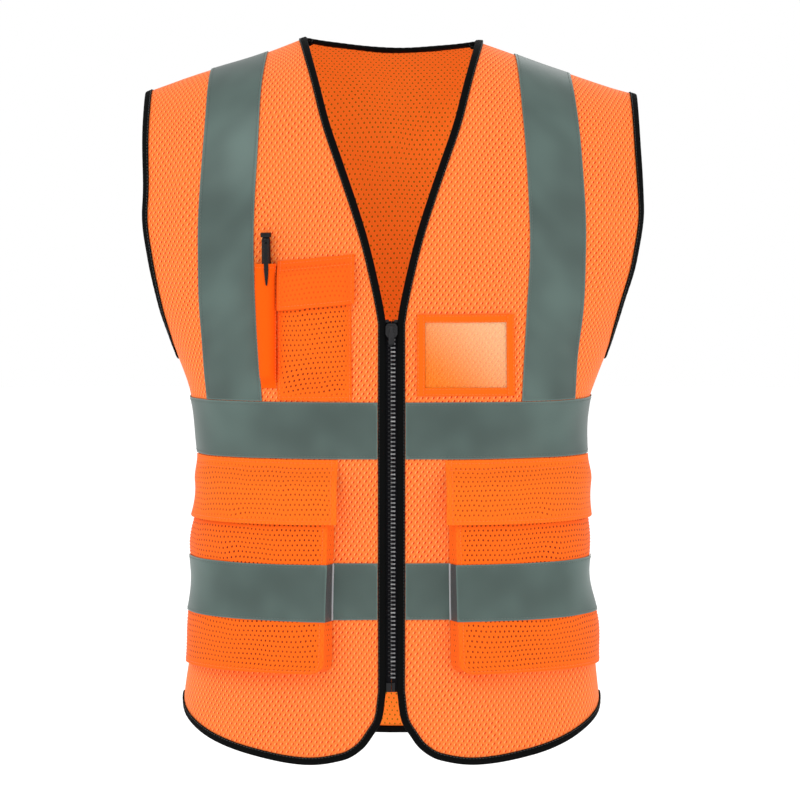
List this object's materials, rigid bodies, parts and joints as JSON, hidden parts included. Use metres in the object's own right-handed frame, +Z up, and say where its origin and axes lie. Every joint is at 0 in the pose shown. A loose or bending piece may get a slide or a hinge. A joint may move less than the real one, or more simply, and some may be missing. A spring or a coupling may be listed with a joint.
{
  "type": "high visibility vest",
  "caption": "Sleeveless zip-front safety vest of orange mesh with grey reflective bands, black edge bindings, a chest pocket with pen, a card holder and flapped lower pockets.",
  "frame": {"origin": "midway between the two neck points, on the shoulder seam line, where a hanger's hook or the wearer's neck is", "axes": "+Z up, -Y towards the front, +X towards the wearer's left"},
  "size_m": [0.4476, 0.2455, 0.6502],
  "materials": {
    "orange_mesh": "open knitted polyester mesh, fluorescent orange",
    "pocket_mesh": "finer, closer knitted mesh, deeper orange",
    "plain_cloth": "plain woven polyester, fluorescent orange",
    "black_binding": "folded black binding tape",
    "reflective_tape": "glass bead reflective tape, grey-green",
    "zip_ribbon": "woven zip tape, black",
    "zip_plastic": "moulded black plastic",
    "slider_enamel": "dark enamelled metal",
    "card_ribbon": "orange ribbon",
    "clear_film": "clear flexible film",
    "loop_tape": "soft loop tape, black",
    "hook_tape": "hook tape, black",
    "pen_plastic": "dark moulded plastic"
  },
  "bodies": {
    "right_half": {"right_front_panel": "orange_mesh", "right_back_panel": "orange_mesh", "right_front_edge_binding": "black_binding", "right_back_neck_binding": "black_binding", "right_armhole_binding": "black_binding", "right_front_hem_binding": "black_binding", "right_back_hem_binding": "black_binding", "right_front_brace": "reflective_tape", "right_back_brace": "reflective_tape", "right_front_chest_band": "reflective_tape", "right_back_chest_band": "reflective_tape", "right_front_waist_band": "reflective_tape", "right_back_waist_band": "reflective_tape", "right_zip_tape": "zip_ribbon", "right_zip_teeth": "zip_plastic", "right_top_stop": "zip_plastic", "right_pocket_front": "pocket_mesh", "right_pocket_gusset": "pocket_mesh", "right_pocket_tape": "reflective_tape", "right_loop_patch": "loop_tape", "retainer_box": "zip_plastic", "chest_pocket": "pocket_mesh", "pen_sleeve": "plain_cloth", "chest_loop_patch": "loop_tape"},
    "left_half": {"left_front_panel": "orange_mesh", "left_back_panel": "orange_mesh", "left_front_edge_binding": "black_binding", "left_back_neck_binding": "black_binding", "left_armhole_binding": "black_binding", "left_front_hem_binding": "black_binding", "left_back_hem_binding": "black_binding", "left_front_brace": "reflective_tape", "left_back_brace": "reflective_tape", "left_front_chest_band": "reflective_tape", "left_back_chest_band": "reflective_tape", "left_front_waist_band": "reflective_tape", "left_back_waist_band": "reflective_tape", "left_zip_tape": "zip_ribbon", "left_zip_teeth": "zip_plastic", "left_top_stop": "zip_plastic", "left_pocket_front": "pocket_mesh", "left_pocket_gusset": "pocket_mesh", "left_pocket_tape": "reflective_tape", "left_loop_patch": "loop_tape", "insertion_pin": "zip_plastic", "card_frame": "card_ribbon", "card_window": "clear_film"},
    "zip_slider": {"zip_slider": "slider_enamel"},
    "pull_tab": {"pull_tab": "slider_enamel"},
    "chest_flap": {"chest_flap": "plain_cloth", "chest_hook_patch": "hook_tape"},
    "right_pocket_flap": {"right_pocket_flap": "plain_cloth", "right_hook_patch": "hook_tape"},
    "left_pocket_flap": {"left_pocket_flap": "plain_cloth", "left_hook_patch": "hook_tape"},
    "pen": {"pen_barrel": "pen_plastic", "pen_clip": "pen_plastic"}
  },
  "joints": [
    {"name": "front_opening", "type": "hinge", "parent": "right_half", "child": "left_half", "pos_m": [0, 0.118, 0], "axis": [0, 0, 1], "range_deg": [0, 40]},
    {"name": "zip_slide", "type": "slide", "parent": "right_half", "child": "zip_slider", "axis": [0, 0, -1], "range_m": [0, 0.3]},
    {"name": "pull_tab_swing", "type": "hinge", "parent": "zip_slider", "child": "pull_tab", "pos_m": [0, -0.1152, -0.2554], "axis": [-1, 0, 0], "range_deg": [0, 150]},
    {"name": "chest_flap_hinge", "type": "hinge", "parent": "right_half", "child": "chest_flap", "pos_m": [-0.0662, -0.111, -0.1944], "axis": [-0.9935, 0.0645, -0.0936], "range_deg": [0, 140]},
    {"name": "right_flap_hinge", "type": "hinge", "parent": "right_half", "child": "right_pocket_flap", "pos_m": [-0.137, -0.0862, -0.3724], "axis": [-0.8383, 0.5452, 0], "range_deg": [0, 100]},
    {"name": "left_flap_hinge", "type": "hinge", "parent": "left_half", "child": "left_pocket_flap", "pos_m": [0.137, -0.0862, -0.3724], "axis": [-0.8383, -0.5452, 0], "range_deg": [0, 100]},
    {"name": "pen_slide", "type": "slide", "parent": "right_half", "child": "pen", "axis": [-0.0146, -0.0454, 0.9989], "range_m": [0, 0.13]}
  ],
  "couplings": [
    {"joint": "zip_slide", "follows": "front_opening", "m_per_rad": 0.4295}
  ]
}
